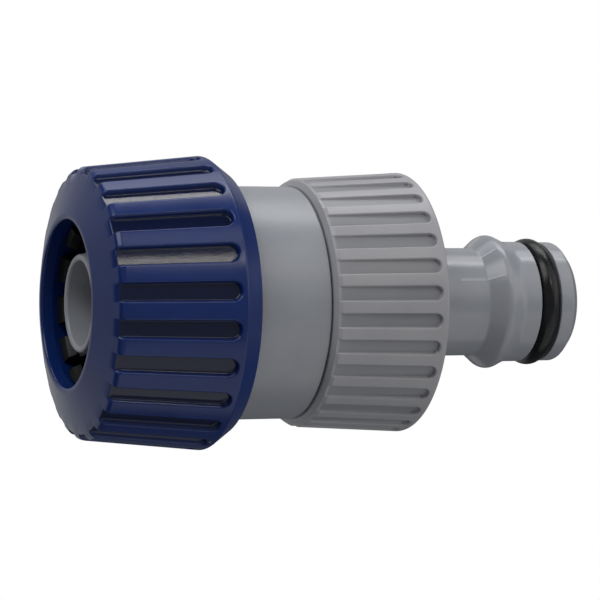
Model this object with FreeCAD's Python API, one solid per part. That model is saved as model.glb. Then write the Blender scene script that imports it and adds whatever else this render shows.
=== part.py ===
import FreeCAD, Part
import math
import os

from FreeCAD import Vector

# Regulating male connector for a garden hose, in millimetres
# +Z runs from the hose end to the click spigot. The origin is the centre of the
# nut's mouth, and everything is shown closed: nut tight, valve shut.

# Lengths along the axis
nut_length = 20.1
nut_end_gap = 0.5  # running gap between the nut and the body's shoulder
body_length_shown = 9.55  # smooth cylinder between the nut and the collar
collar_gap = 0.2  # running gap at the collar's left edge
collar_length = 15.15
neck_length = 10.3  # from the collar's end face to the foot of the ridge
barrel_length = 2.6
tip_land_length = 1.8

# Hose tail
tail_bore_r = 5.37
tail_r = 6.2
tail_setback = 1.7  # the tail's tip lies this far inside the nut's mouth
tail_tip_round = 0.4
barb_height = 0.55
barb_count = 3
barb_pitch = 3.4
tail_root_round = 0.8

# Threaded cup round the tail
cup_wall = 1.9
cup_depth = 8.8
cup_rim_edge = 0.5
cup_step = 0.8  # how far the cup's floor lies below the shoulder
web_thickness = 2.8

# Thread between the cup and the nut
thread_core_r = 13.4
thread_pitch = 3.0
thread_depth = 0.9
thread_crest_width = 0.9
thread_flank = 0.89  # widening of both flanks together for each mm of depth
thread_clearance = 0.15
thread_turns = 2.0
nut_thread_turns = 2.6
thread_lead_in = 1.2  # from the cup's rim to the middle of its first ridge

# Body
body_r = 15.0
journal_r = 14.3  # under the collar
journal_edge = 0.5
body_edge = 0.25
chamber_r = 11.9
chamber_mouth_chamfer = 0.5
body_top_gap = 0.65  # below the collar's end wall
key_count = 3
key_width = 3.0
key_height = 1.0
key_length = 11.9
web_chamfer = 0.9

# Hose nut
mouth_r = 10.62
mouth_land = 0.7  # flat ring that the connector stands on
mouth_round = 0.15
nut_front_r = 17.21  # over the lands, at the corner with the face
nut_front_z = 1.87
nut_front_round = 1.0
nut_rim_r = 18.82
nut_rim_z = 17.55
nut_rim_round = 0.35
nut_back_r = 16.97
nut_flutes = 24
nut_flute_depth_front = 0.6
nut_flute_depth_rim = 0.87
nut_flute_end = 16.9
bore_length = 1.6
squeeze_cone_end = 9.0
squeeze_cone_r = 13.5
thread_relief = 0.4

# Clamping collet
collet_setback = 2.2
collet_clearance = 0.1
collet_edge = 0.2
collet_fingers = 12
collet_slot = 2.0
collet_bite_r = 9.4
collet_tooth = 0.5
collet_teeth = 3
collet_tooth_pitch = 1.5
collet_ring_r = 10.5
collet_ring_width = 2.2
collet_seat_gap = 0.2

# Regulating collar
journal_clearance = 0.1
collar_rim_r = 15.86
collar_rim_edge = 0.25
collar_rim_width = 0.42
land_bevel = 0.4
collar_left_r = 16.13
collar_right_r = 17.0
collar_right_round = 0.45
collar_floor_right_r = 16.38
collar_flutes = 30
collar_flute_end = 0.95  # short of the end face
collar_wall = 2.25

# Cam between the collar and the body
cam_lead = 12.0
cam_turn = 90.0  # degrees from shut to open
cam_depth = 1.1
cam_width = 2.1
cam_clearance = 0.15
cam_count = 3
cam_start = 3.65  # middle of the lug above the collar's left edge
lug_angle = 20.0
stop_angle = 0.8  # play of the lug at each end of its travel
snap_step = 0.35  # the lead-in is this much shallower than the working groove
lead_in_angle = 36.0

# Spigot
neck_r = 7.12
ridge_apex_r = 9.02
ridge_rise = 39.8  # degrees from the axis
ridge_fall = 25.2
ridge_round = 1.1
ridge_foot_round = 0.5
ridge_hollow_round = 2.5
barrel_r = 7.97
tip_r = 7.93
tip_chamfer_length = 1.05
tip_chamfer = 1.23
tip_round = 0.25
tip_shoulder_round = 0.5
spigot_bore_r = 4.8
bore_edge = 0.4
seat_r = 4.6
seat_length = 5.0
seat_wall = 1.8
seat_chamfer = 0.4
piston_clearance = 0.08
piston_length = 14.7
skirt_wall = 1.9
key_side_clearance = 0.2
key_end_clearance = 1.0
shank_r = 8.6
shank_clearance = 0.1
neck_cone_length = 1.6
neck_cone_round = 0.8
clip_lip = 0.45
end_play = 0.05

# Spigot O-ring and its groove
o_ring_cord = 2.65
o_ring_r = 8.42
o_ring_groove = 2.9
groove_play = 0.03
groove_edge = 0.12

# Piston O-ring, pressed to a flattened section by its gland
piston_ring_height = 1.8
piston_ring_width = 2.2
piston_ring_round = 0.7
gland_play = 0.1
seal_clearance = 0.03
piston_gland_margin = 0.3

# Clip above the collar's end wall
clip_depth = 0.8
clip_thickness = 0.9
clip_r = 10.2
clip_opening = 70.0

# Shut-off plug
plug_r = 3.9
plug_ring_height = 2.2
plug_ring_wall = 2.2
plug_arm = 2.0
plug_clearance = 0.05
plug_nose = 1.4  # how far it dips into the waterway
plug_nose_round = 2.6
plug_seal_z = 6.6  # middle of its O-ring above the chamber's floor
plug_ring_section = 1.57
plug_ring_width = 1.95
plug_ring_round = 0.6
plug_head = 0.6
plug_tip_length = 1.4
plug_tip_r = 2.0
plug_tip_round = 0.3
seat_overlap = 1.6

# Places that follow from the sizes above
shoulder_z = nut_length + nut_end_gap
cup_floor_z = shoulder_z - cup_step
cup_rim_z = cup_floor_z - cup_depth
chamber_floor_z = cup_floor_z + web_thickness
body_step_z = shoulder_z + body_length_shown
collar_z = body_step_z + collar_gap
collar_end_z = collar_z + collar_length
wall_z = collar_end_z - collar_wall
body_top_z = wall_z - body_top_gap
piston_top_z = wall_z - end_play
piston_end_z = piston_top_z - piston_length
lift = cam_lead * cam_turn / 360.0
collar_bore_r = journal_r + journal_clearance
ridge_foot_z = collar_end_z + neck_length
key_top_z = chamber_floor_z + key_length
plug_seal_mid_z = chamber_floor_z + plug_seal_z
seat_mouth_z = plug_seal_mid_z - seat_overlap
piston_gland_z = body_top_z - chamber_mouth_chamfer - lift - piston_gland_margin
far = 60.0  # reach of the cutting tools
overlap = 0.3  # how deep an added ridge or key reaches into its wall
trim = 0.8  # how far a swept band reaches past the cylinders that trim it
margin = 1.0  # how far a cutting tool reaches past the piece


# Drawing and turning

def corner(before, here, after, radius):
    """Start, middle and end of the arc that rounds a corner."""
    back = (before - here).normalize()
    ahead = (after - here).normalize()
    half = back.getAngle(ahead) / 2.0
    run = radius / math.tan(half)
    middle = here + (back + ahead).normalize() * (radius / math.sin(half) - radius)
    return here + back * run, middle, here + ahead * run


def section(points):
    """Closed face in the XZ plane from (r, z) or (r, z, corner radius)."""
    places = [Vector(p[0], 0, p[1]) for p in points]
    count = len(points)
    starts, ends, edges = [], [], []
    for i, point in enumerate(points):
        if len(point) == 3 and point[2] > 0:
            start, middle, end = corner(places[i - 1], places[i], places[(i + 1) % count], point[2])
            edges.append(Part.Arc(start, middle, end).toShape())
        else:
            start = end = places[i]
            edges.append(None)
        starts.append(start)
        ends.append(end)
    chain = []
    for i in range(count):
        if edges[i]:
            chain.append(edges[i])
        following = starts[(i + 1) % count]
        if (following - ends[i]).Length > 1e-6:
            chain.append(Part.makeLine(ends[i], following))
    return Part.Face(Part.Wire(Part.__sortEdges__(chain)))


def turned(points):
    """Solid of revolution about the Z axis."""
    return section(points).revolve(Vector(0, 0, 0), Vector(0, 0, 1), 360)


def tube(inner_r, outer_r, z0, z1):
    """Plain ring between two heights."""
    return turned([(inner_r, z0), (outer_r, z0), (outer_r, z1), (inner_r, z1)])


def around(shape, count, first=0.0):
    """Equally spaced copies of a shape about the Z axis."""
    copies = []
    for i in range(count):
        copy = shape.copy()
        copy.rotate(Vector(0, 0, 0), Vector(0, 0, 1), first + i * 360.0 / count)
        copies.append(copy)
    return copies


def sector(inner_r, outer_r, z0, z1, angle):
    """Piece of a ring that is centred on the X axis."""
    face = section([(inner_r, z0), (outer_r, z0), (outer_r, z1), (inner_r, z1)])
    face.rotate(Vector(0, 0, 0), Vector(0, 0, 1), -angle / 2.0)
    return face.revolve(Vector(0, 0, 0), Vector(0, 0, 1), angle)


def screwed(inner_r, outer_r, width_at, pitch, z_zero, first, last):
    """Right-hand helical band between two angles, trimmed to two cylinders.

    Its middle passes z_zero at angle 0, and width_at gives its axial width at a radius.
    """
    low_r = inner_r - trim
    high_r = outer_r + trim
    low_half = width_at(low_r) / 2.0
    high_half = width_at(high_r) / 2.0
    outline = section([
        (low_r, -low_half), (high_r, -high_half), (high_r, high_half), (low_r, low_half),
    ]).OuterWire
    helix = Part.makeHelix(pitch, pitch * (last - first) / 360.0, low_r)
    swept = Part.Wire(helix).makePipeShell([outline], True, True)
    swept.rotate(Vector(0, 0, 0), Vector(0, 0, 1), first)
    start_z = z_zero + pitch * first / 360.0
    end_z = z_zero + pitch * last / 360.0
    swept.translate(Vector(0, 0, start_z))
    return swept.common(tube(inner_r, outer_r, start_z - pitch, end_z + pitch))


def flute_cutters(count, z0, z1, floor0, floor1, outer0, outer1):
    """Round-ended grooves as wide as the lands between them, with a conical floor."""
    half0 = outer0 * math.tan(math.pi / count / 2.0)
    half1 = outer1 * math.tan(math.pi / count / 2.0)
    flat_end = z1 - half1
    path = [
        Part.makeLine(Vector(0, -half0, z0), Vector(0, -half1, flat_end)),
        Part.Arc(Vector(0, -half1, flat_end), Vector(0, 0, z1), Vector(0, half1, flat_end)).toShape(),
        Part.makeLine(Vector(0, half1, flat_end), Vector(0, half0, z0)),
        Part.makeLine(Vector(0, half0, z0), Vector(0, -half0, z0)),
    ]
    plank = Part.Face(Part.Wire(path)).extrude(Vector(far, 0, 0))
    outside = turned([(floor0, z0), (far, z0), (far, z1), (floor1, z1)])
    return around(plank.common(outside), count)


# Thread ridges shared by the cup and the nut

thread_crest_r = thread_core_r + thread_depth
nut_root_r = thread_crest_r + thread_clearance
nut_crest_r = thread_core_r + thread_clearance


def cup_ridge_width(radius):
    """Axial width of the cup's ridge at a radius."""
    return thread_crest_width + (thread_crest_r - radius) * thread_flank


def nut_ridge_width(radius):
    """Axial width of the nut's ridge, which fills the rest of the pitch."""
    return thread_pitch - 2.0 * thread_clearance - cup_ridge_width(radius)


thread_start_z = cup_rim_z + thread_lead_in


# Hose nut

def cone_r(z):
    """Radius of the nut's inner cone at a height."""
    share = (z - bore_length) / (squeeze_cone_end - bore_length)
    return mouth_r + (squeeze_cone_r - mouth_r) * share


def hose_nut():
    blank = turned([
        (mouth_r, 0, mouth_round),
        (mouth_r + mouth_land, 0),
        (nut_front_r, nut_front_z, nut_front_round),
        (nut_rim_r, nut_rim_z, nut_rim_round),
        (nut_back_r, nut_length, body_edge),
        (nut_root_r + body_edge, nut_length),
        (nut_root_r, nut_length - body_edge),
        (nut_root_r, squeeze_cone_end + thread_relief),
        (squeeze_cone_r, squeeze_cone_end),
        (mouth_r, bore_length),
    ])
    flutes = flute_cutters(
        nut_flutes, 0, nut_flute_end,
        nut_front_r - nut_flute_depth_front, nut_rim_r - nut_flute_depth_rim,
        nut_front_r, nut_rim_r,
    )
    body = blank.cut(flutes)
    thread = screwed(nut_crest_r, nut_root_r + overlap, nut_ridge_width, thread_pitch,
                     thread_start_z - thread_pitch / 2.0, 0.0, 360.0 * nut_thread_turns)
    return body.fuse(thread)


# Clamping collet

def clamp_collet():
    ring_z = cup_rim_z - collet_seat_gap - collet_ring_width
    back_z = cup_rim_z - collet_seat_gap
    root_r = cone_r(squeeze_cone_end) - collet_clearance
    points = [
        (cone_r(collet_setback) - collet_clearance, collet_setback, collet_edge),
        (root_r, squeeze_cone_end),
        (root_r, back_z, collet_edge),
        (collet_ring_r, back_z, collet_edge),
        (collet_ring_r, ring_z - collet_tooth),
    ]
    tooth_z = collet_setback + collet_tooth_pitch * collet_teeth + collet_tooth
    points.append((collet_bite_r + collet_tooth, tooth_z))
    for i in range(collet_teeth):
        points.append((collet_bite_r, tooth_z - collet_tooth))
        tooth_z -= collet_tooth_pitch
        points.append((collet_bite_r + collet_tooth, tooth_z))
    blank = turned(points)
    slot = Part.makeBox(far, collet_slot, ring_z, Vector(0, -collet_slot / 2.0, 0))
    return blank.cut(around(slot, collet_fingers, 180.0 / collet_fingers))


# Body with the hose tail, the threaded cup and the valve chamber

def tail_outline():
    """Barbed outside of the tail from its tip to the cup's floor."""
    points = [(tail_bore_r, tail_setback, tail_tip_round), (tail_r, tail_setback, tail_tip_round)]
    z = tail_setback
    for i in range(barb_count):
        z += barb_pitch
        points.append((tail_r + barb_height, z))
        points.append((tail_r, z))
    points.append((tail_r, cup_floor_z, tail_root_round))
    return points


def body_blank():
    cup_inner_r = thread_core_r - cup_wall
    return turned(tail_outline() + [
        (cup_inner_r, cup_floor_z, tail_root_round),
        (cup_inner_r, cup_rim_z, body_edge),
        (thread_core_r, cup_rim_z, cup_rim_edge),
        (thread_core_r, shoulder_z),
        (body_r, shoulder_z, body_edge),
        (body_r, body_step_z, body_edge),
        (journal_r, body_step_z),
        (journal_r, body_top_z, journal_edge),
        (chamber_r + chamber_mouth_chamfer, body_top_z),
        (chamber_r, body_top_z - chamber_mouth_chamfer),
        (chamber_r, chamber_floor_z),
        (tail_bore_r + web_chamfer, chamber_floor_z),
        (tail_bore_r, chamber_floor_z - web_chamfer),
    ])


def cam_channel(floor_r, first, last):
    """Helical groove for one lug between two angles."""
    return screwed(floor_r, journal_r + overlap, lambda r: cam_width, cam_lead,
                   collar_z + cam_start, first, last)


def cam_tools():
    """Working groove, its shallower lead-in and the way in from the top, for one lug."""
    floor_r = journal_r - cam_depth
    snap_r = floor_r + snap_step
    half_angle = lug_angle / 2.0
    groove = cam_channel(floor_r, -half_angle - stop_angle, cam_turn + half_angle + stop_angle)
    way_in = cam_turn + lead_in_angle
    lead_in = cam_channel(snap_r, cam_turn + half_angle, way_in)
    slot_z = collar_z + cam_start + cam_lead * way_in / 360.0 - cam_width / 2.0
    slot = sector(snap_r, journal_r + overlap, slot_z, far, lug_angle + 2.0 * stop_angle)
    slot.rotate(Vector(0, 0, 0), Vector(0, 0, 1), way_in)
    return [groove, lead_in, slot]


def valve_body():
    thread = screwed(thread_core_r - overlap, thread_crest_r, cup_ridge_width, thread_pitch,
                     thread_start_z, 0.0, 360.0 * thread_turns)
    key = sector(chamber_r - key_height, chamber_r + overlap, chamber_floor_z - overlap,
                 key_top_z, math.degrees(key_width / chamber_r))
    body = body_blank().fuse([thread] + around(key, key_count))
    cuts = []
    for tool in cam_tools():
        cuts += around(tool, cam_count)
    return body.cut(cuts)


# Shut-off plug on its spider

def valve_plug():
    gland = plug_ring_width + 2.0 * gland_play
    gland_r = seat_r - seal_clearance - plug_ring_section - groove_play
    gland_low = plug_seal_mid_z - gland / 2.0
    gland_high = plug_seal_mid_z + gland / 2.0
    head_z = gland_high + plug_head
    torpedo = turned([
        (0, chamber_floor_z - plug_nose),
        (plug_r, chamber_floor_z - plug_nose, plug_nose_round),
        (plug_r, gland_low),
        (gland_r, gland_low),
        (gland_r, gland_high),
        (plug_r, gland_high),
        (plug_r, head_z),
        (plug_tip_r, head_z + plug_tip_length, plug_tip_round),
        (0, head_z + plug_tip_length),
    ])
    ring_r = chamber_r - plug_clearance
    ring_top_z = chamber_floor_z + plug_ring_height
    ring = tube(ring_r - plug_ring_wall, ring_r, chamber_floor_z, ring_top_z)
    arm = Part.makeBox(ring_r - plug_ring_wall / 2.0, plug_arm, plug_ring_height,
                       Vector(0, -plug_arm / 2.0, chamber_floor_z))
    notch_angle = math.degrees((key_width + 2.0 * key_side_clearance) / chamber_r)
    notch = sector(chamber_r - key_height - key_side_clearance, far,
                   chamber_floor_z - margin, ring_top_z + margin, notch_angle)
    spider = ring.fuse(around(arm, key_count, 180.0 / key_count) + [torpedo])
    return spider.cut(around(notch, key_count))


def squeezed_ring(inner_r, outer_r, width, rounding, z_mid):
    """O-ring as its gland flattens it."""
    low = z_mid - width / 2.0
    high = z_mid + width / 2.0
    return turned([
        (inner_r, low, rounding),
        (outer_r, low, rounding),
        (outer_r, high, rounding),
        (inner_r, high, rounding),
    ])


def plug_o_ring():
    outer_r = seat_r - seal_clearance
    return squeezed_ring(outer_r - plug_ring_section, outer_r, plug_ring_width, plug_ring_round,
                         plug_seal_mid_z)


# Spigot: seat, piston, shank, neck, ridge, barrel and tip

piston_gland = piston_ring_width + 2.0 * gland_play
clip_groove_z = collar_end_z + end_play
clip_groove_r = shank_r - clip_depth
clip_groove = clip_thickness + 2.0 * gland_play
ridge_apex_z = ridge_foot_z + (ridge_apex_r - neck_r) / math.tan(math.radians(ridge_rise))
barrel_z = ridge_apex_z + (ridge_apex_r - barrel_r) / math.tan(math.radians(ridge_fall))
groove_z = barrel_z + barrel_length
groove_end_z = groove_z + o_ring_groove
chamfer_z = groove_end_z + tip_land_length
tip_z = chamfer_z + tip_chamfer_length
slot_top_z = key_top_z + key_end_clearance


def spigot_outline():
    """Outside of the spigot from the piston's gland to the tip."""
    piston_r = chamber_r - piston_clearance
    gland_r = chamber_r - seal_clearance - piston_ring_height - groove_play
    groove_r = o_ring_r - o_ring_cord - groove_play
    clip_top_z = clip_groove_z + clip_groove
    return [
        (piston_r, piston_end_z, body_edge),
        (piston_r, piston_gland_z - piston_gland, groove_edge),
        (gland_r, piston_gland_z - piston_gland, groove_edge),
        (gland_r, piston_gland_z, groove_edge),
        (piston_r, piston_gland_z, groove_edge),
        (piston_r, piston_top_z, body_edge),
        (shank_r, piston_top_z),
        (shank_r, clip_groove_z),
        (clip_groove_r, clip_groove_z),
        (clip_groove_r, clip_top_z),
        (shank_r, clip_top_z),
        (shank_r, clip_top_z + clip_lip, body_edge),
        (neck_r, clip_top_z + clip_lip + neck_cone_length, neck_cone_round),
        (neck_r, ridge_foot_z, ridge_foot_round),
        (ridge_apex_r, ridge_apex_z, ridge_round),
        (barrel_r, barrel_z, ridge_hollow_round),
        (barrel_r, groove_z, groove_edge),
        (groove_r, groove_z, groove_edge),
        (groove_r, groove_end_z, groove_edge),
        (tip_r, groove_end_z, groove_edge),
        (tip_r, chamfer_z, tip_shoulder_round),
        (tip_r - tip_chamfer, tip_z, tip_round),
    ]


def spigot():
    skirt_r = chamber_r - piston_clearance - skirt_wall
    seat_tube_r = seat_r + seat_wall
    blank = turned(spigot_outline() + [
        (spigot_bore_r + bore_edge, tip_z),
        (spigot_bore_r, tip_z - bore_edge),
        (spigot_bore_r, seat_mouth_z + seat_length + bore_edge),
        (seat_r, seat_mouth_z + seat_length),
        (seat_r, seat_mouth_z + seat_chamfer),
        (seat_r + seat_chamfer, seat_mouth_z),
        (seat_tube_r, seat_mouth_z),
        (seat_tube_r, slot_top_z, body_edge),
        (skirt_r, slot_top_z, body_edge),
        (skirt_r, piston_end_z),
    ])
    slot_angle = math.degrees((key_width + 2.0 * key_side_clearance) / chamber_r)
    slot = sector(skirt_r - body_edge, far, piston_end_z - margin, slot_top_z, slot_angle)
    return blank.cut(around(slot, key_count))


def spigot_o_ring():
    middle_r = o_ring_r - o_ring_cord / 2.0
    return Part.makeTorus(middle_r, o_ring_cord / 2.0, Vector(0, 0, groove_z + o_ring_groove / 2.0))


def piston_o_ring():
    outer_r = chamber_r - seal_clearance
    return squeezed_ring(outer_r - piston_ring_height, outer_r, piston_ring_width,
                         piston_ring_round, piston_gland_z - piston_gland / 2.0)


# Regulating collar and the clip that holds it

def collar_blank():
    bevel_z = collar_z + collar_rim_width
    hole_r = shank_r + shank_clearance
    return turned([
        (collar_bore_r, collar_z, body_edge),
        (collar_rim_r, collar_z, collar_rim_edge),
        (collar_rim_r, bevel_z),
        (collar_left_r, bevel_z + land_bevel),
        (collar_right_r, collar_end_z, collar_right_round),
        (hole_r, collar_end_z, body_edge),
        (hole_r, wall_z, body_edge),
        (collar_bore_r, wall_z, body_edge),
    ])


def cam_lug():
    """Lug that follows the body's groove as the collar turns."""
    inner_r = journal_r - cam_depth + cam_clearance
    width = cam_width - 2.0 * cam_clearance
    return screwed(inner_r, collar_bore_r + overlap, lambda r: width, cam_lead,
                   collar_z + cam_start, -lug_angle / 2.0, lug_angle / 2.0)


def regulating_collar():
    flutes = flute_cutters(
        collar_flutes, collar_z - margin, collar_end_z - collar_flute_end,
        collar_rim_r, collar_floor_right_r, collar_left_r, collar_right_r,
    )
    return collar_blank().cut(flutes).fuse(around(cam_lug(), cam_count))


def collar_clip():
    low = clip_groove_z + gland_play
    inner_r = clip_groove_r + groove_play
    ring = tube(inner_r, clip_r, low, low + clip_thickness)
    opening = sector(0, far, low - margin, low + clip_thickness + margin, clip_opening)
    return ring.cut(opening)


# Files, one for each piece

os.makedirs("parts", exist_ok=True)
pieces = {
    "hose_nut": hose_nut,
    "clamp_collet": clamp_collet,
    "valve_body": valve_body,
    "valve_plug": valve_plug,
    "plug_o_ring": plug_o_ring,
    "spigot": spigot,
    "piston_o_ring": piston_o_ring,
    "spigot_o_ring": spigot_o_ring,
    "regulating_collar": regulating_collar,
    "collar_clip": collar_clip,
}
for name, make in pieces.items():
    shape = make()
    solids = shape.Solids
    print(name, "solids", len(solids), "valid", shape.isValid(), "volume", round(shape.Volume, 1))
    if len(solids) == 1:
        shape = solids[0]
    shape.exportStep("parts/" + name + ".step")
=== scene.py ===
import math

import bmesh
import bpy
from mathutils import Matrix, Vector
from mathutils.bvhtree import BVHTree


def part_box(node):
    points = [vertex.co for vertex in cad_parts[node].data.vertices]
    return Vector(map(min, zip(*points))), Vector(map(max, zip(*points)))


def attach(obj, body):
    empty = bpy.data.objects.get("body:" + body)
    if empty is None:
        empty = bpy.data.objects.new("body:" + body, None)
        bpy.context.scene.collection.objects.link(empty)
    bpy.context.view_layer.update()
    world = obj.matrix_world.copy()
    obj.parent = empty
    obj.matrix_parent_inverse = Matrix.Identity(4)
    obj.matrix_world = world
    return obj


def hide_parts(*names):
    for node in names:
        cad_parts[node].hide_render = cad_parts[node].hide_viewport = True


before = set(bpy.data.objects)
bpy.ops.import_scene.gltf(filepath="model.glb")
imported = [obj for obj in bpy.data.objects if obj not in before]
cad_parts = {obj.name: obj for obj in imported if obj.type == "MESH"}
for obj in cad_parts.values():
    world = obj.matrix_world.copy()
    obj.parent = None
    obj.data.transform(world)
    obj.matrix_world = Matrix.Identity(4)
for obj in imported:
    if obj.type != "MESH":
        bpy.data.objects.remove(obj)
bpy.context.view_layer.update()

# Camera
# A long lens looks across the connector from its hose end, at the photograph's own angle. The
# connector stands on its nut, so the camera lies on its side and the spigot points to the right.
mm = 0.001
photo_px = 600
focal_px = 2888.2
sensor_width = 36.0
sight_azimuth = math.radians(64.555)
sight_rise = math.radians(21.868)
sight_roll = math.radians(0.269)
aim = Vector((-0.30, 0.14, 31.80)) * mm
reach = 374.75 * mm

sight = Vector((
    math.cos(sight_rise) * math.cos(sight_azimuth),
    math.cos(sight_rise) * math.sin(sight_azimuth),
    math.sin(sight_rise),
))
axis = Vector((0.0, 0.0, 1.0))
level_right = (axis - axis.dot(sight) * sight).normalized()
picture_right = Matrix.Rotation(sight_roll, 3, sight) @ level_right
picture_up = picture_right.cross(sight)


def facing(place, right, up, back):
    """World matrix of a camera or lamp from its place and its own three axes."""
    turned = Matrix((right, up, back)).transposed().to_4x4()
    return Matrix.Translation(place) @ turned


lens = bpy.data.cameras.new("photo_lens")
lens.sensor_width = sensor_width
lens.lens = sensor_width * focal_px / photo_px
camera = bpy.data.objects.new("photo_camera", lens)
camera.matrix_world = facing(aim - sight * reach, picture_right, picture_up, -sight)
bpy.context.scene.collection.objects.link(camera)
bpy.context.scene.camera = camera

# Studio
# White paper behind the connector, a large softbox with a brighter core above it, and white
# cards all round. The floor shows from above only, because the photograph looks up at the
# connector's underside.
white = (1.0, 1.0, 1.0, 1.0)
room_grey = (0.070, 0.073, 0.077, 1.0)
floor_grey = (0.80, 0.80, 0.80, 1.0)
floor_gap = 0.02 * mm
floor_size = 4.0
strip_colour = (1.0, 0.95, 0.87)


def add(tree, kind, inputs=None, **settings):
    """Adds a node with its settings. An input gets a value, a socket or a node's first output."""
    made = tree.nodes.new(kind)
    for name, value in settings.items():
        setattr(made, name, value)
    for name, value in (inputs or {}).items():
        if isinstance(value, bpy.types.Node):
            value = value.outputs[0]
        if isinstance(value, bpy.types.NodeSocket):
            tree.links.new(value, made.inputs[name])
        else:
            made.inputs[name].default_value = value
    return made


def new_material(name):
    """Empty node material and its tree."""
    made = bpy.data.materials.new(name)
    made.use_nodes = True
    made.node_tree.nodes.clear()
    return made, made.node_tree


world = bpy.data.worlds.new("white_studio")
world.use_nodes = True
tree = world.node_tree
tree.nodes.clear()
seen = add(tree, "ShaderNodeLightPath").outputs["Is Camera Ray"]
room = add(tree, "ShaderNodeBackground", {"Color": room_grey, "Strength": 1.0})
paper = add(tree, "ShaderNodeBackground", {"Color": white, "Strength": 1.0})
either = add(tree, "ShaderNodeMixShader", {0: seen, 1: room, 2: paper})
add(tree, "ShaderNodeOutputWorld", {"Surface": either})
bpy.context.scene.world = world

# Matt paint: the eye sees a plain pale floor from above, and nothing of it from below.
floor_paint, tree = new_material("pale studio floor")
matte = add(tree, "ShaderNodeBsdfDiffuse", {"Color": floor_grey})
clear = add(tree, "ShaderNodeBsdfTransparent")
underside = add(tree, "ShaderNodeNewGeometry").outputs["Backfacing"]
either = add(tree, "ShaderNodeMixShader", {0: underside, 1: matte, 2: clear})
add(tree, "ShaderNodeOutputMaterial", {"Surface": either})

half = floor_size / 2
floor_mesh = bpy.data.meshes.new("floor")
floor_mesh.from_pydata(
    [(-half, -half, -floor_gap), (half, -half, -floor_gap),
     (half, half, -floor_gap), (-half, half, -floor_gap)],
    [], [(0, 1, 2, 3)],
)
floor_mesh.materials.append(floor_paint)
floor = bpy.data.objects.new("floor", floor_mesh)
floor.visible_diffuse = False
floor.visible_glossy = False
floor.visible_transmission = False
floor.visible_shadow = False
bpy.context.scene.collection.objects.link(floor)


def softbox(name, rise, turn, distance, width, height, level):
    """Flat rectangular lamp aimed at the connector.

    rise turns from the lens over the top of the picture, turn goes towards its right, and
    level is about how bright the lamp alone makes a white card that faces it.
    """
    rise, turn = math.radians(rise), math.radians(turn)
    upright = math.sin(rise) * picture_up - math.cos(rise) * sight
    outward = math.cos(turn) * upright + math.sin(turn) * picture_right
    right = (picture_right - picture_right.dot(outward) * outward).normalized()
    lamp = bpy.data.lights.new(name, "AREA")
    lamp.shape = "RECTANGLE"
    lamp.size = width
    lamp.size_y = height
    lamp.energy = level * (math.pi * distance) ** 2
    thing = bpy.data.objects.new(name, lamp)
    thing.matrix_world = facing(aim + outward * distance, right, outward.cross(right), outward)
    thing.visible_camera = False
    bpy.context.scene.collection.objects.link(thing)


# Name, rise, turn, width and height in metres, and level. The key hangs right above the
# connector, the warm narrow strip draws the bright lines in the nut's flutes, the window lays a
# veil on the land between them, and the rest is card that the polished edges pick up.
lamp_distance = 0.80
for name, rise, turn, width, height, level in (
    ("key_above", 108, 0, 0.90, 0.44, 0.35),
    ("key_core", 100, 8, 0.60, 0.09, 0.13),
    ("key_spill", 150, 0, 0.90, 0.50, 0.07),
    ("narrow_strip", 38.5, 26, 0.24, 0.07, 0.065),
    ("window", 57, 22, 0.36, 0.17, 0.048),
    ("upper_front", 56, -24, 0.70, 0.40, 0.46),
    ("upper_right", 60, 63, 0.80, 0.90, 0.28),
    ("front", -8, 0, 1.40, 1.00, 0.12),
    ("card_below", -68, 25, 1.40, 0.90, 0.36),
    ("card_behind", 185, -48, 1.20, 1.20, 0.25),
    ("card_right", 0, 88, 0.90, 0.90, 0.08),
):
    softbox(name, rise, turn, lamp_distance, width, height, level)
bpy.data.lights["narrow_strip"].color = strip_colour


# Body
# One grey moulding of ABS: the barbed hose tail, the threaded cup round it, and the smooth
# cylinder that holds the valve. Its edges are as rounded as the tool leaves them.
smooth_angle = math.radians(28)
weld = 0.002 * mm


def colour(code):
    """Linear colour of an sRGB hex value."""
    parts = [int(code[i:i + 2], 16) / 255 for i in (1, 3, 5)]
    linear = [c / 12.92 if c <= 0.04045 else ((c + 0.055) / 1.055) ** 2.4 for c in parts]
    return (*linear, 1.0)


def finished(obj):
    """Plain mesh of an object with its modifiers applied."""
    bpy.context.view_layer.update()
    ready = obj.evaluated_get(bpy.context.evaluated_depsgraph_get())
    mesh = bpy.data.meshes.new_from_object(ready)
    obj.modifiers.clear()
    obj.data = mesh
    return obj


def joined_copy(node, material, extra=None):
    """Copy of a CAD node with its loose triangles joined and its curved faces smooth.

    extra adds small moulded marks to the joined mesh before it is finished.
    """
    source = bmesh.new()
    source.from_mesh(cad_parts[node].data)
    bmesh.ops.remove_doubles(source, verts=source.verts, dist=weld)
    if extra:
        extra(source)
    mesh = bpy.data.meshes.new(node + "_shell")
    source.to_mesh(mesh)
    source.free()
    if mesh.attributes.get("custom_normal"):
        mesh.attributes.remove(mesh.attributes["custom_normal"])
    mesh.shade_smooth()
    mesh.set_sharp_from_angle(angle=smooth_angle)
    mesh.materials.append(material)
    thing = bpy.data.objects.new(node + "_shell", mesh)
    bpy.context.scene.collection.objects.link(thing)
    even = thing.modifiers.new("even_normals", "WEIGHTED_NORMAL")
    even.keep_sharp = True
    return finished(thing)


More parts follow.
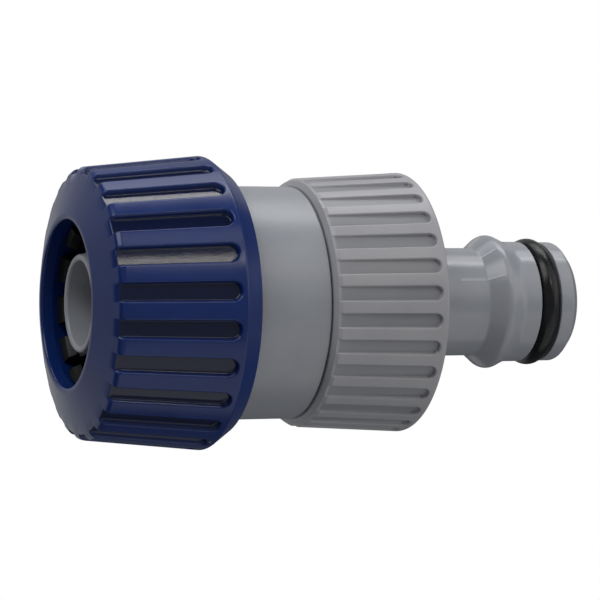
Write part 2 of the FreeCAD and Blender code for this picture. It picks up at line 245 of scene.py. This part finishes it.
def moulded_plastic(name, shade, deep, roughness, sink_depth, index, second=None):
    """Injection-moulded plastic whose pigment and gloss drift with its flow, with faint sinks.

    sink_depth is how far the sinks go in. second is (shade, roughness, pit, pit_depth) where the
    mesh's second-finish mark is 1: gloss and pits that the tool leaves, and a shade that paints
    shade in the collar's grooves and a highlight on the spigot's flash lines. Lengths are in
    metres.
    """
    made, tree = new_material(name)
    place = add(tree, "ShaderNodeTexCoord").outputs["Object"]
    flow_size = 7.0 * mm
    gloss_drift = 0.02
    flow = add(tree, "ShaderNodeTexNoise",
               {"Vector": place, "Scale": 1 / flow_size, "Detail": 3.0, "Roughness": 0.6})
    pigment = add(tree, "ShaderNodeMapRange",
                  {"Value": flow, "From Min": 0.35, "From Max": 0.65, "To Min": 0.0, "To Max": 1.0})
    tint = add(tree, "ShaderNodeMix", {0: pigment, 6: colour(deep), 7: colour(shade)},
               data_type="RGBA").outputs[2]
    gloss = add(tree, "ShaderNodeMapRange",
                {"Value": flow, "From Min": 0.3, "From Max": 0.7,
                 "To Min": roughness - gloss_drift, "To Max": roughness + gloss_drift}).outputs[0]
    relief = add(tree, "ShaderNodeBump",
                 {"Height": flow, "Distance": sink_depth, "Strength": 1.0})
    if second:
        second_shade_with_painted_light, second_roughness, pit, pit_depth = second
        finish_and_painted_light_mask = add(tree, "ShaderNodeAttribute", attribute_name="finish_and_painted_light").outputs["Fac"]
        # the second shade: painted shade in the collar's grooves, painted highlight on the spigot's
        # flash lines
        tint = add(tree, "ShaderNodeMix", {0: finish_and_painted_light_mask, 6: tint, 7: colour(second_shade_with_painted_light)},
                   data_type="RGBA").outputs[2]
        gloss = add(tree, "ShaderNodeMix", {0: finish_and_painted_light_mask, 2: gloss, 3: second_roughness}).outputs[0]
        pits = add(tree, "ShaderNodeTexNoise",
                   {"Vector": place, "Scale": 1 / pit, "Detail": 1.0, "Roughness": 0.4})
        held = add(tree, "ShaderNodeMath", {0: pits, 1: finish_and_painted_light_mask}, operation="MULTIPLY")
        relief = add(tree, "ShaderNodeBump",
                     {"Height": held, "Distance": pit_depth, "Strength": 1.0, "Normal": relief})
    skin = add(tree, "ShaderNodeBsdfPrincipled",
               {"Base Color": tint, "Roughness": gloss, "IOR": index, "Normal": relief})
    add(tree, "ShaderNodeOutputMaterial", {"Surface": skin})
    return made


# ABS from a lightly etched tool: the eye sees a satin blue-grey with one broad soft highlight,
# and the pigment a little uneven.
grey_abs = moulded_plastic(
    "satin moulded ABS, blue-grey", "#999CA2", "#94979E", 0.34, 0.05 * mm, 1.54,
)
body = joined_copy("valve_body", grey_abs)
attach(body, "body")
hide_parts("valve_body")

# Shut-off plug
# White acetal, moulded in one with the three-armed spider ring that holds it. The ring is
# pushed into the body's chamber from above.

# Acetal without pigment: the eye sees a warm white with a waxy sheen.
white_acetal = moulded_plastic(
    "moulded acetal, natural white", "#DEDCD4", "#D6D4CB", 0.34, 0.02 * mm, 1.48,
)
plug = joined_copy("valve_plug", white_acetal)
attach(plug, "body")
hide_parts("valve_plug")

# Plug O-ring
# Nitrile ring pressed in the gland on the plug's neck. It closes the spigot's seat when the
# collar is turned home.


def moulded_rubber(name, shade, worn, roughness):
    """Press-moulded rubber with a faint bloom and the grain of its press tool.

    The real grain is about 0.02 mm and would not show, so it is drawn at 0.18 mm.
    """
    made, tree = new_material(name)
    place = add(tree, "ShaderNodeTexCoord").outputs["Object"]
    bloom_size = 1.6 * mm
    grain_size = 0.18 * mm
    grain_depth = 0.002 * mm
    gloss_drift = 0.06
    index = 1.40
    bloom = add(tree, "ShaderNodeTexNoise",
                {"Vector": place, "Scale": 1 / bloom_size, "Detail": 4.0, "Roughness": 0.6})
    film = add(tree, "ShaderNodeMapRange",
               {"Value": bloom, "From Min": 0.4, "From Max": 0.7, "To Min": 0.0, "To Max": 1.0})
    tint = add(tree, "ShaderNodeMix", {"Factor": film, 6: colour(shade), 7: colour(worn)},
               data_type="RGBA")
    gloss = add(tree, "ShaderNodeMapRange",
                {"Value": bloom, "From Min": 0.3, "From Max": 0.7,
                 "To Min": roughness - gloss_drift, "To Max": roughness + gloss_drift})
    grain = add(tree, "ShaderNodeTexNoise",
                {"Vector": place, "Scale": 1 / grain_size, "Detail": 2.0})
    relief = add(tree, "ShaderNodeBump",
                 {"Height": grain, "Distance": grain_depth, "Strength": 1.0})
    skin = add(tree, "ShaderNodeBsdfPrincipled",
               {"Base Color": tint.outputs[2], "Roughness": gloss, "IOR": index, "Normal": relief})
    add(tree, "ShaderNodeOutputMaterial", {"Surface": skin})
    return made


# Oiled nitrile: the eye sees near black, with a soft sheen that follows the ring's roundness.
nitrile = moulded_rubber("nitrile rubber", "#0E0F11", "#16171A", 0.28)
plug_ring = joined_copy("plug_o_ring", nitrile)
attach(plug_ring, "body")
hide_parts("plug_o_ring")

# Clamping collet
# Black acetal ring with twelve fingers, moulded in one. It slides along the tail with the nut,
# whose cone presses the fingers on to the hose.

# Dull black acetal: the eye sees dark fingers whose edges only just catch the light.
black_acetal = moulded_plastic(
    "moulded acetal, black", "#08090A", "#060607", 0.50, 0.03 * mm, 1.38,
)
collet = joined_copy("clamp_collet", black_acetal)
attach(collet, "collet")
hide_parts("clamp_collet")

# Hose nut
# Blue ABS nut, moulded in one: 24 flutes for the hand, a conical face round the hose, a cone
# inside that closes the collet, and a coarse thread by which it screws on to the body's cup.
nut_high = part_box("hose_nut")[1]
nut_length = nut_high.z
mouth_r = 10.62 * mm
mouth_land = 0.7 * mm
mouth_inner_round, mouth_outer_round = 0.30 * mm, 0.60 * mm
nut_front_r, nut_front_z = 17.21 * mm, 1.87 * mm
nut_front_round = 1.0 * mm
nut_rim_r, nut_rim_z = nut_high.x, 17.55 * mm
nut_back_r = 16.97 * mm
nut_root_r = 14.45 * mm
nut_cone_r, nut_cone_z = 13.5 * mm, 9.0 * mm
nut_bore_length = 1.6 * mm
nut_flutes = 24
nut_flute_end = 16.9 * mm
nut_fine_rows = (15.3 * mm, 17.1 * mm)
nut_floor_front_r = 16.32 * mm
nut_floor_rim_r = 17.95 * mm
nut_edge_round = 0.20 * mm
nut_run_out = 0.30 * mm
nut_finish_fade = 0.12 * mm
nut_thread_lead, nut_thread_turns = 3.0 * mm, 2.6
nut_thread_height = 0.9 * mm
nut_thread_crest, nut_thread_root = 1.13 * mm, 1.93 * mm
nut_thread_z = 10.7 * mm
fine_row = 0.085 * mm
thread_row = 0.38 * mm
wall_steepness = 5.0
floor_fillet = 0.06 * mm
flute_columns = 26
# share of a flute's columns, and how far across the pitch they reach: they crowd at its walls
column_places = [(4 / 26, 0.18), (11 / 26, 0.32), (15 / 26, 0.68), (22 / 26, 0.82)]
arc_step = math.radians(14)
support = 0.05 * mm


def rounded_outline(corners):
    """Points (r, z) of a closed outline. A corner is (r, z, rounding, row spacing after it).

    A support row on each side of a rounding keeps its shading off the flat beside it.
    """
    places = [Vector((c[0], c[1])) for c in corners]
    count = len(corners)
    arcs = []
    for i, corner in enumerate(corners):
        radius = corner[2]
        here, back, ahead = places[i], places[i - 1], places[(i + 1) % count]
        to_back = (back - here).normalized()
        to_ahead = (ahead - here).normalized()
        opening = to_back.angle(to_ahead)
        arc = []
        if radius:
            run = radius / math.tan(opening / 2)
            centre = here + (to_back + to_ahead).normalized() * (radius / math.sin(opening / 2))
            first = here + to_back * run - centre
            sweep = first.angle_signed(here + to_ahead * run - centre)
            steps = max(2, round(abs(sweep) / arc_step))
            arc.append(here + to_back * (run + support))
            for k in range(steps + 1):
                arc.append(centre + Matrix.Rotation(-sweep * k / steps, 2) @ first)
            arc.append(here + to_ahead * (run + support))
        else:
            arc.append(here)
        arcs.append(arc)
    outline = []
    for i, arc in enumerate(arcs):
        outline += arc
        row = corners[i][3]
        start, end = arc[-1], arcs[(i + 1) % count][0]
        rows = int((end - start).length / row) if row else 0
        for k in range(1, rows):
            outline.append(start.lerp(end, k / rows))
    return outline


def between(low, high, z):
    """Radius at height z on the line from one (r, z) to another."""
    return low[0] + (high[0] - low[0]) * (z - low[1]) / (high[1] - low[1])


def sleeve_tree():
    """Geometry Nodes that turn an outline into a sleeve with flutes and an inner helical ridge.

    Each outline point carries its flute's floor radius, half-width and distance past the
    centre of the flute's round end, and whether it lies on the ridged bore. The sleeve's mark
    for its second finish and painted shade is 1 on the flutes' walls and the floor share on
    their floors, so that the collar's walls are painted darker than its floors as shade.
    """
    tree = bpy.data.node_groups.new("fluted_sleeve", "GeometryNodeTree")
    face = tree.interface
    face.new_socket("Outline", in_out="INPUT", socket_type="NodeSocketGeometry")
    for name in ("Flutes", "Columns per flute", "Ridge copies"):
        face.new_socket(name, in_out="INPUT", socket_type="NodeSocketInt")
    for name in ("First flute angle", "Edge rounding", "Run-out blend", "Finish and shade fade",
                 "Floor share of finish and shade", "Ridge lead", "Ridge start height", "Ridge first angle",
                 "Ridge last angle", "Ridge crest width", "Ridge root width", "Ridge height"):
        face.new_socket(name, in_out="INPUT", socket_type="NodeSocketFloat")
    face.new_socket("Material", in_out="INPUT", socket_type="NodeSocketMaterial")
    face.new_socket("Sleeve", in_out="OUTPUT", socket_type="NodeSocketGeometry")
    given = add(tree, "NodeGroupInput").outputs
    full_turn = 2 * math.pi
    finish_depth = (0.05 * mm, 0.25 * mm)
    # depths over which a wall takes the full mark: on the collar this is painted shade along the
    # groove walls
    painted_wall_shade_ramp = (0.02 * mm, 0.10 * mm)

    def sum_of(kind, *values):
        return add(tree, "ShaderNodeMath", dict(enumerate(values)), operation=kind)

    size = add(tree, "GeometryNodeAttributeDomainSize", {"Geometry": given["Outline"]},
               component="MESH").outputs["Point Count"]
    rows = sum_of("ADD", size, 1.0)
    columns = sum_of("ADD", sum_of("MULTIPLY", given["Flutes"], given["Columns per flute"]), 1.0)
    sheet = add(tree, "GeometryNodeMeshGrid",
                {"Size X": 1.0, "Size Y": 1.0, "Vertices X": columns, "Vertices Y": rows})
    index = add(tree, "GeometryNodeInputIndex")
    row = sum_of("MODULO", sum_of("MODULO", index, rows), size)
    column = sum_of("FLOOR", sum_of("DIVIDE", sum_of("ADD", index, 0.5), rows))
    sampled = {}
    for name in ("floor", "half_width", "past_end", "on_bore"):
        value = add(tree, "GeometryNodeInputNamedAttribute", {"Name": name}, data_type="FLOAT")
        sampled[name] = add(tree, "GeometryNodeSampleIndex",
                            {"Geometry": given["Outline"], "Value": value, "Index": row},
                            data_type="FLOAT", domain="POINT")
    point = add(tree, "GeometryNodeSampleIndex",
                {"Geometry": given["Outline"], "Value": add(tree, "GeometryNodeInputPosition"),
                 "Index": row}, data_type="FLOAT_VECTOR", domain="POINT")
    place = add(tree, "ShaderNodeSeparateXYZ", {"Vector": point}).outputs
    radius, height = place["X"], place["Z"]

    turn = sum_of("DIVIDE", column, given["Columns per flute"])
    crowded = add(tree, "ShaderNodeFloatCurve", {"Value": sum_of("FRACT", turn)})
    bend = crowded.mapping.curves[0].points
    for x, y in column_places:
        bend.new(x, y)
    for spot in bend:
        spot.handle_type = "VECTOR"
    crowded.mapping.update()
    pitch = sum_of("DIVIDE", full_turn, given["Flutes"])
    angle = sum_of("MULTIPLY", sum_of("ADD", sum_of("FLOOR", turn), crowded), pitch)
    angle = sum_of("ADD", angle, given["First flute angle"])
    aside = sum_of("MINIMUM", crowded, sum_of("SUBTRACT", 1.0, crowded))
    aside = sum_of("MULTIPLY", sum_of("MULTIPLY", aside, pitch), radius)
    reach_out = sum_of("SQRT", sum_of("ADD", sum_of("MULTIPLY", aside, aside),
                                      sum_of("MULTIPLY", sampled["past_end"], sampled["past_end"])))
    outside = sum_of("SUBTRACT", reach_out, sampled["half_width"])
    round_r = given["Edge rounding"]
    on_round = sum_of("MINIMUM", sum_of("MAXIMUM", outside, 0.0), round_r)
    rest = sum_of("SUBTRACT", sum_of("MULTIPLY", round_r, 2.0), on_round)
    arc = sum_of("SUBTRACT", round_r, sum_of("SQRT", sum_of("MULTIPLY", on_round, rest)))
    inside = sum_of("MAXIMUM", sum_of("MULTIPLY", outside, -1.0), 0.0)
    drop = sum_of("ADD", arc, sum_of("MULTIPLY", inside, wall_steepness))
    depth = sum_of("SMOOTH_MAX", sum_of("SUBTRACT", radius, sampled["floor"]), 0.0,
                   given["Run-out blend"])
    cut = sum_of("MAXIMUM", sum_of("SMOOTH_MIN", depth, drop, floor_fillet), 0.0)
    fluted = sum_of("SUBTRACT", radius, cut)
    sunk = add(tree, "ShaderNodeMapRange",
               {"Value": outside, "From Min": 0.0,
                "From Max": sum_of("MULTIPLY", given["Finish and shade fade"], -1.0),
                "To Min": 0.0, "To Max": 1.0})
    deep = add(tree, "ShaderNodeMapRange",
               {"Value": depth, "From Min": finish_depth[0], "From Max": finish_depth[1],
                "To Min": 0.0, "To Max": 1.0})
    # walls get the full mark and floors only their share: on the collar the dark second shade here
    # is painted shade in the grooves
    wall_painted_shade = add(tree, "ShaderNodeMapRange",
                  {"Value": sum_of("SUBTRACT", depth, cut), "From Min": painted_wall_shade_ramp[0],
                   "From Max": painted_wall_shade_ramp[1], "To Min": given["Floor share of finish and shade"], "To Max": 1.0})
    finish_and_shade = sum_of("MULTIPLY", sum_of("MULTIPLY", sunk, deep), wall_painted_shade)

    share = sum_of("DIVIDE", full_turn, given["Ridge copies"])
    nearest = sum_of("ROUND", sum_of("DIVIDE", angle, share))
    local = sum_of("SUBTRACT", angle, sum_of("MULTIPLY", share, nearest))
    # the two small allowances keep the columns at a seam on the seam's own side
    under = sum_of("LESS_THAN", local, -1e-4)
    local = sum_of("ADD", local, sum_of("MULTIPLY", full_turn, under))
    past = sum_of("GREATER_THAN", local, sum_of("MULTIPLY", share, 0.5001))
    local = sum_of("SUBTRACT", local, sum_of("MULTIPLY", full_turn, past))
    rise = sum_of("SUBTRACT", height, given["Ridge start height"])
    rise = sum_of("MULTIPLY", sum_of("DIVIDE", rise, given["Ridge lead"]), full_turn)
    lap = sum_of("ROUND", sum_of("DIVIDE", sum_of("SUBTRACT", rise, local), full_turn))
    total = sum_of("ADD", local, sum_of("MULTIPLY", lap, full_turn))
    held = sum_of("MAXIMUM", total, given["Ridge first angle"])
    held = sum_of("MINIMUM", held, given["Ridge last angle"])
    over = sum_of("MULTIPLY", sum_of("SUBTRACT", total, held), radius)
    off = sum_of("MULTIPLY", sum_of("SUBTRACT", rise, held),
                 sum_of("DIVIDE", given["Ridge lead"], full_turn))
    far = sum_of("SQRT", sum_of("ADD", sum_of("MULTIPLY", over, over),
                                sum_of("MULTIPLY", off, off)))
    ridge = add(tree, "ShaderNodeMapRange",
                {"Value": far, "From Min": sum_of("MULTIPLY", given["Ridge crest width"], 0.5),
                 "From Max": sum_of("MULTIPLY", given["Ridge root width"], 0.5),
                 "To Min": given["Ridge height"], "To Max": 0.0})
    ridge = sum_of("MULTIPLY", ridge, sampled["on_bore"])
    final = sum_of("SUBTRACT", fluted, ridge)

    spot = add(tree, "ShaderNodeCombineXYZ",
               {"X": sum_of("MULTIPLY", final, sum_of("COSINE", angle)),
                "Y": sum_of("MULTIPLY", final, sum_of("SINE", angle)), "Z": height})
    shaped = add(tree, "GeometryNodeSetPosition", {"Geometry": sheet, "Position": spot})
    marked = add(tree, "GeometryNodeStoreNamedAttribute",
                 {"Geometry": shaped, "Name": "finish_and_painted_light", "Value": finish_and_shade},
                 data_type="FLOAT", domain="POINT")
    sewn = add(tree, "GeometryNodeMergeByDistance", {"Geometry": marked, "Distance": 0.001 * mm})
    sleek = add(tree, "GeometryNodeSetShadeSmooth", {"Geometry": sewn, "Shade Smooth": True})
    whole = add(tree, "GeometryNodeRealizeInstances", {"Geometry": sleek})
    dressed = add(tree, "GeometryNodeSetMaterial",
                  {"Geometry": whole, "Material": given["Material"]})
    add(tree, "NodeGroupOutput", {"Sleeve": dressed})
    return tree


fluted_sleeve = sleeve_tree()


def make_sleeve(name, corners, flute, bore, sizes, material):
    """Runs the sleeve tree on an outline and gives the piece as a plain mesh."""
    points = rounded_outline(corners)
    mesh = bpy.data.meshes.new(name)
    count = len(points)
    mesh.from_pydata([(p.x, 0.0, p.y) for p in points],
                     [(i, (i + 1) % count) for i in range(count)], [])
    columns = {"floor": [], "half_width": [], "past_end": [], "on_bore": []}
    for p in points:
        floor_r, half_width, past_end = flute(p.x, p.y)
        columns["floor"].append(floor_r)
        columns["half_width"].append(half_width)
        columns["past_end"].append(past_end)
        columns["on_bore"].append(float(abs(p.x - bore[0]) < weld and bore[1] < p.y < bore[2]))
    for key, values in columns.items():
        mesh.attributes.new(key, "FLOAT", "POINT").data.foreach_set("value", values)
    thing = bpy.data.objects.new(name, mesh)
    bpy.context.scene.collection.objects.link(thing)
    maker = thing.modifiers.new("sleeve", "NODES")
    maker.node_group = fluted_sleeve
    sizes = dict(sizes, Material=material)
    for item in fluted_sleeve.interface.items_tree:
        if item.in_out == "INPUT" and item.name in sizes:
            maker[item.identifier] = sizes[item.name]
    return finished(thing)


def nut_flute(r, z):
    """Floor radius, half-width and distance past the round end of a flute, at one outline point."""
    land = between((nut_front_r, nut_front_z), (nut_rim_r, nut_rim_z), z)
    floor_r = between((nut_floor_front_r, 0.0), (nut_floor_rim_r, nut_flute_end), z)
    quarter = math.pi / nut_flutes / 2
    half_width = land * quarter
    centre_z = nut_flute_end - nut_rim_r * quarter
    return floor_r, half_width, max(0.0, z - centre_z)


def on_flank(z):
    """Point of the nut's outside at height z."""
    return between((nut_front_r, nut_front_z), (nut_rim_r, nut_rim_z), z), z


nut_corners = [
    (mouth_r, 0.0, mouth_inner_round, 0),
    (mouth_r + mouth_land, 0.0, mouth_outer_round, 1.2 * mm),
    (nut_front_r, nut_front_z, nut_front_round, 2.6 * mm),
    (*on_flank(nut_fine_rows[0]), 0, fine_row),
    (*on_flank(nut_fine_rows[1]), 0, 0),
    (nut_rim_r, nut_rim_z, 0.35 * mm, 0.5 * mm),
    (nut_back_r, nut_length, 0.25 * mm, 0.8 * mm),
    (nut_root_r, nut_length, 0.2 * mm, thread_row),
    (nut_root_r, nut_cone_z + 0.4 * mm, 0, 0),
    (nut_cone_r, nut_cone_z, 0.1 * mm, 1.2 * mm),
    (mouth_r, nut_bore_length, 0.1 * mm, 0.5 * mm),
]
# ABS from a polished tool whose flutes were left as the spark cut them: the eye sees a deep blue
# that shines softly on the lands, and dark grooves that glitter where a lamp strikes them. The
# real pits are about 0.05 mm and would not show, so they are drawn at 0.17 mm.
blue_abs = moulded_plastic(
    "gloss moulded ABS, deep blue", "#0F2B6A", "#0D2762", 0.25, 0.03 * mm, 1.45,
    second=("#0B1638", 0.13, 0.17 * mm, 0.009 * mm),
)
nut = make_sleeve(
    "hose_nut_shell", nut_corners, nut_flute,
    (nut_root_r, nut_cone_z + 0.45 * mm, nut_length - 0.3 * mm),
    {"Flutes": nut_flutes, "Columns per flute": flute_columns, "First flute angle": 0.0,
     "Edge rounding": nut_edge_round, "Run-out blend": nut_run_out,
     "Finish and shade fade": nut_finish_fade, "Floor share of finish and shade": 1.0,
     "Ridge copies": 1, "Ridge lead": nut_thread_lead, "Ridge start height": nut_thread_z,
     "Ridge first angle": 0.0, "Ridge last angle": 2 * math.pi * nut_thread_turns,
     "Ridge crest width": nut_thread_crest, "Ridge root width": nut_thread_root,
     "Ridge height": nut_thread_height},
    blue_abs,
)
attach(nut, "nut")
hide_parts("hose_nut")

# Spigot
# Click spigot and valve piston, one ABS moulding in the body's grey from a better polished
# cavity. Faint flash lines cross its ridge and neck, where the tool's slides met.
flash_width = 0.56 * mm
flash_depth_in = 0.06 * mm
flash_steps = 36
flash_fade_steps = 4
outside_all = 12 * mm
# across the line and above the surface, as shares of its width and of how far it stands out
flash_section = ((-0.5, 0.0), (-0.2, 0.5), (0.1, 0.9), (0.3, 1.0), (0.42, 0.7), (0.5, 0.0))
# azimuth in degrees, first and last height in mm, and how far the line stands out in mm
flash_lines = ((-139.8, 55.5, 57.6, 0.06), (-169.8, 55.5, 57.6, 0.05), (-139.8, 51.6, 55.6, 0.012))


def add_flash_lines(shell):
    """Lays the raised lines on the spigot's own surface, found by looking at it from outside."""
    surface = BVHTree.FromBMesh(shell)
    # the flash lines are marked for a painted highlight: a paler grey that fades out at their ends
    marked = shell.verts.layers.float.new("finish_and_painted_light")
    for azimuth, low, high, stand in flash_lines:
        azimuth = math.radians(azimuth)
        out = Vector((math.cos(azimuth), math.sin(azimuth), 0.0))
        across = Vector((-out.y, out.x, 0.0))
        path = []
        for k in range(flash_steps + 1):
            height = (low + (high - low) * k / flash_steps) * mm
            path.append(surface.ray_cast(out * outside_all + axis * height, -out)[0])
        rings = []
        for k, spot in enumerate(path):
            along = (path[min(k + 1, flash_steps)] - path[max(k - 1, 0)]).normalized()
            lift = across.cross(along).normalized()
            if lift.dot(out) < 0:
                lift.negate()
            fade = min(1.0, min(k, flash_steps - k) / flash_fade_steps)
            ring = [spot + across * (x * flash_width) + lift * (stand * mm * y * fade)
                    for x, y in flash_section]
            ring[0] -= lift * flash_depth_in
            ring[-1] -= lift * flash_depth_in
            rings.append([shell.verts.new(v) for v in ring])
            for vert in rings[-1]:
                vert[marked] = fade
        count = len(flash_section)
        made = []
        for near, far in zip(rings, rings[1:]):
            for i in range(count):
                j = (i + 1) % count
                made.append(shell.faces.new((near[i], near[j], far[j], far[i])))
        made.append(shell.faces.new(rings[0]))
        made.append(shell.faces.new(rings[-1]))
        bmesh.ops.recalc_face_normals(shell, faces=made)


# ABS from a polished cavity: the eye sees the body's grey with a brighter, sharper highlight. Its
# second shade paints a highlight along the flash lines, a paler grey that has no pits.
spigot_abs = moulded_plastic(
    "gloss moulded ABS, blue-grey", "#999CA2", "#95989F", 0.22, 0.04 * mm, 1.54,
    second=("#ABAEB4", 0.32, 0.24 * mm, 0.0),
)
spigot = joined_copy("spigot", spigot_abs, add_flash_lines)
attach(spigot, "spigot")
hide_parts("spigot")

# Spigot O-ring
# Round nitrile ring, stretched into the groove of the barrel. It seals in the click coupling that
# the connector is pushed into.
spigot_ring = joined_copy("spigot_o_ring", nitrile)
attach(spigot_ring, "spigot")
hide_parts("spigot_o_ring")

# Piston O-ring
# Nitrile ring in the gland of the spigot's piston, pressed to a flattened section by the body's
# chamber. It keeps the water inside while the spigot moves up and down.
piston_ring = joined_copy("piston_o_ring", nitrile)
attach(piston_ring, "spigot")
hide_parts("piston_o_ring")

# Regulating collar
# Ribbed ABS sleeve in a plainer grey than the body's, from a coarser tool. The hand turns it on
# the body, and its three lugs run in the body's cam grooves and lift the spigot.
collar_low, collar_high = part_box("regulating_collar")
collar_z, collar_end_z = collar_low.z, collar_high.z
collar_bore_r = 14.4 * mm
collar_rim_r = 15.86 * mm
collar_gap_r = 15.12 * mm
collar_lead_in = 0.36 * mm
collar_rim_width = 0.42 * mm
land_bevel = 0.4 * mm
collar_left_r = 16.13 * mm
collar_right_r = 17.0 * mm
collar_floor_right_r = 16.38 * mm
collar_hole_r = 8.7 * mm
collar_wall = 2.25 * mm
collar_flutes = 30
collar_first_flute = math.radians(0.7)
collar_flute_width = 1.05
collar_flute_end = collar_end_z - 0.95 * mm
collar_fine_rows = (43.0 * mm, 44.8 * mm)
collar_edge_round = 0.16 * mm
collar_run_out = 0.04 * mm
# how soon the grooves' painted shade and pits come in past the edge, and how much of the walls'
# dark painted shade the floors take
collar_finish_and_shade_fade = 0.05 * mm
collar_floor_finish_and_shade = 0.455
lug_z = collar_z + 3.65 * mm
lug_reach = math.radians(10)
lug_rows = 1.4 * mm
lug_crest, lug_root, lug_height = 1.7 * mm, 1.9 * mm, 1.05 * mm
cam_lead = 12.0 * mm
bevel_z = collar_z + collar_rim_width


def collar_flute(r, z):
    """Floor radius, half-width and distance past the round end of a groove, as on the nut."""
    land = between((collar_left_r, bevel_z + land_bevel), (collar_right_r, collar_end_z), z)
    floor_r = between((collar_rim_r, collar_z), (collar_floor_right_r, collar_flute_end), z)
    quarter = math.pi / collar_flutes / 2
    centre_z = collar_flute_end - collar_right_r * quarter * collar_flute_width
    return floor_r, land * quarter * collar_flute_width, max(0.0, z - centre_z)


def on_collar(z):
    """Point of the collar's outside at height z."""
    low = (collar_left_r, bevel_z + land_bevel)
    return between(low, (collar_right_r, collar_end_z), z), z


collar_corners = [
    (collar_bore_r, collar_z, 0.2 * mm, 0.5 * mm),
    (collar_gap_r, collar_z, 0.12 * mm, 0),
    (collar_rim_r, collar_z + collar_lead_in, 0.2 * mm, 0.08 * mm),
    (collar_left_r, bevel_z + land_bevel, 0.2 * mm, 1.5 * mm),
    (*on_collar(collar_fine_rows[0]), 0, fine_row),
    (*on_collar(collar_fine_rows[1]), 0, 0),
    (collar_right_r, collar_end_z, 0.45 * mm, 1.5 * mm),
    (collar_hole_r, collar_end_z, 0.25 * mm, 0.5 * mm),
    (collar_hole_r, collar_end_z - collar_wall, 0.2 * mm, 1.5 * mm),
    (collar_bore_r, collar_end_z - collar_wall, 0.2 * mm, 1.5 * mm),
    (collar_bore_r, lug_z + lug_rows, 0, 0.15 * mm),
    (collar_bore_r, lug_z - lug_rows, 0, 0.6 * mm),
]
# ABS from a coarser tool: the eye sees a dry, plain grey. The floors of its grooves are painted a
# little darker and their walls darker still, as painted shade in the grooves. The spark pits on the
# floors are too fine to show, as on the nut, so they are drawn at 0.24 mm.
collar_abs = moulded_plastic(
    "matt moulded ABS, neutral grey", "#A5A5A9", "#A0A0A5", 0.38, 0.04 * mm, 1.54,
    second=("#5F6268", 0.36, 0.24 * mm, 0.0086 * mm),
)
collar = make_sleeve(
    "regulating_collar_shell", collar_corners, collar_flute,
    (collar_bore_r, lug_z - lug_rows - 0.1 * mm, lug_z + lug_rows + 0.1 * mm),
    {"Flutes": collar_flutes, "Columns per flute": flute_columns,
     "First flute angle": collar_first_flute, "Edge rounding": collar_edge_round,
     "Run-out blend": collar_run_out, "Finish and shade fade": collar_finish_and_shade_fade,
     "Floor share of finish and shade": collar_floor_finish_and_shade, "Ridge copies": 3, "Ridge lead": cam_lead,
     "Ridge start height": lug_z, "Ridge first angle": -lug_reach,
     "Ridge last angle": lug_reach, "Ridge crest width": lug_crest,
     "Ridge root width": lug_root, "Ridge height": lug_height},
    collar_abs,
)
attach(collar, "collar")
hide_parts("regulating_collar")

# Collar clip
# Split ring of white acetal, sprung into the groove above the collar. It keeps the collar on the
# spigot and lets it turn.
clip = joined_copy("collar_clip", white_acetal)
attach(clip, "spigot")
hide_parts("collar_clip")

# Colour management
bpy.context.scene.view_settings.view_transform = "Standard"
